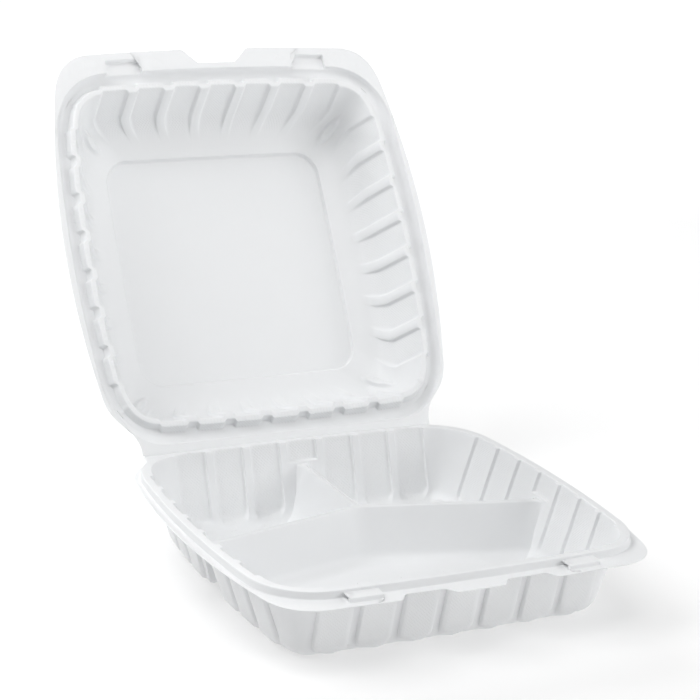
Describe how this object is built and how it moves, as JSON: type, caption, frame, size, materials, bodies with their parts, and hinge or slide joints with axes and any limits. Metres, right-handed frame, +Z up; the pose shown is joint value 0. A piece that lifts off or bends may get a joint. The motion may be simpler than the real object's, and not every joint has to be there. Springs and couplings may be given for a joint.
{
  "type": "hinged takeaway container",
  "caption": "Square hinged takeaway container of white plastic, fluted walls, a divided base, latch tabs at the front and a lid that stands open.",
  "frame": {"origin": "middle of the foot, on the plane that the base stands on", "axes": "+Z up, +Y towards the hinge at the back, +X to the right seen from the latch side"},
  "size_m": [0.2294, 0.387, 0.2499],
  "materials": {
    "base_sheet": "satin white filled polypropylene",
    "lid_sheet": "satin white filled polypropylene"
  },
  "bodies": {
    "base": {"base": "base_sheet"},
    "lid": {"lid": "lid_sheet"}
  },
  "joints": [
    {"name": "lid_hinge", "type": "hinge", "parent": "base", "child": "lid", "pos_m": [0, 0.12175, 0.0387], "axis": [1, 0, 0], "range_deg": [-48.5, 121.5]}
  ]
}
